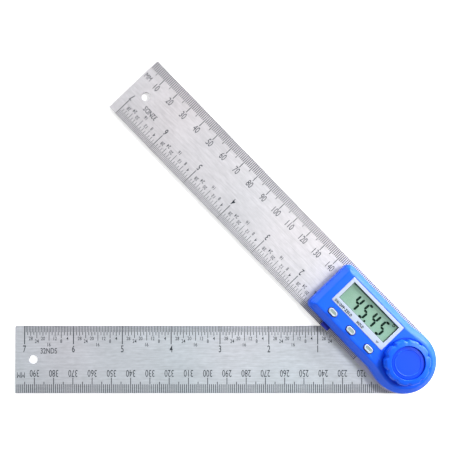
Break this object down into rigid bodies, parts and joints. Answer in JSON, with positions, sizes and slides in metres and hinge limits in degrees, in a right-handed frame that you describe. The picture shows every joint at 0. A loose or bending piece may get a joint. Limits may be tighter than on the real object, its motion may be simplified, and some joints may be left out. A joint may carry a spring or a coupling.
{
  "type": "digital angle finder",
  "caption": "Angle finder: graduated steel rulers turning on one stud, with a blue display head, lock knob, push buttons and a battery drawer.",
  "frame": {"origin": "on the turning axis of the two arms, at the flat underside of the pivot stud, flush with the back of the lower ruler", "axes": "+Z out of the display, along the turning axis; the lower ruler runs along -X from the origin, with its millimetre edge towards -Y; the upper arm is opened 46 degrees from it"},
  "size_m": [0.2175, 0.1735, 0.0182],
  "materials": {
    "ruler_steel": "brushed along the ruler, with etched black graduations",
    "bright_steel": "turned or plated steel",
    "blue_plastic": "satin moulded plastic, saturated blue",
    "navy_plastic": "satin moulded plastic, dark blue",
    "grey_plastic": "satin moulded plastic, light grey",
    "white_plastic": "satin, near white",
    "display_green": "reflective display, grey green",
    "clear_lens": "clear acrylic",
    "dark_rubber": "moulded rubber",
    "board_laminate": "green circuit laminate",
    "chip_resin": "black potting resin",
    "brass": "turned or pressed brass"
  },
  "bodies": {
    "lower_arm": {"lower_ruler": "ruler_steel", "pivot_stud": "bright_steel", "friction_washer": "white_plastic", "rotor_disc": "board_laminate", "rotor_clip": "bright_steel"},
    "upper_arm": {"upper_ruler": "ruler_steel", "pivot_bush": "brass", "base_shell": "blue_plastic", "front_shell": "blue_plastic", "case_screw_1": "bright_steel", "case_screw_2": "bright_steel", "case_screw_3": "bright_steel", "case_screw_4": "bright_steel", "wave_spring": "bright_steel", "thrust_washer": "white_plastic", "bezel_plate": "white_plastic", "display_lens": "clear_lens", "display_glass": "display_green", "display_frame": "white_plastic", "upper_zebra_strip": "dark_rubber", "lower_zebra_strip": "dark_rubber", "circuit_board": "board_laminate", "controller_chip": "chip_resin", "timing_crystal": "bright_steel", "keypad_mat": "dark_rubber", "face_contact": "brass", "edge_contact": "brass"},
    "drawer": {"battery_drawer": "navy_plastic", "coin_cell": "bright_steel"},
    "power_key": {"power_button": "grey_plastic"},
    "hold_key": {"hold_button": "grey_plastic"},
    "mode_key": {"mode_button": "grey_plastic"},
    "knob": {"lock_knob": "blue_plastic", "knob_nut": "brass", "knob_cap": "blue_plastic"}
  },
  "joints": [
    {"name": "arm_swing", "type": "hinge", "parent": "lower_arm", "child": "upper_arm", "pos_m": [0, 0, 0.0015], "axis": [0, 0, -1], "continuous": true},
    {"name": "drawer_slide", "type": "slide", "parent": "upper_arm", "child": "drawer", "axis": [-0.7193, -0.6947, 0], "range_m": [0, 0.024]},
    {"name": "power_press", "type": "slide", "parent": "upper_arm", "child": "power_key", "axis": [0, 0, -1], "range_m": [0, 0.0005], "stiffness_N_per_m": 1500},
    {"name": "hold_press", "type": "slide", "parent": "upper_arm", "child": "hold_key", "axis": [0, 0, -1], "range_m": [0, 0.0005], "stiffness_N_per_m": 1500},
    {"name": "mode_press", "type": "slide", "parent": "upper_arm", "child": "mode_key", "axis": [0, 0, -1], "range_m": [0, 0.0005], "stiffness_N_per_m": 1500},
    {"name": "knob_turn", "type": "hinge", "parent": "lower_arm", "child": "knob", "pos_m": [0, 0, 0.0125], "axis": [0, 0, 1], "range_deg": [0, 360]}
  ]
}
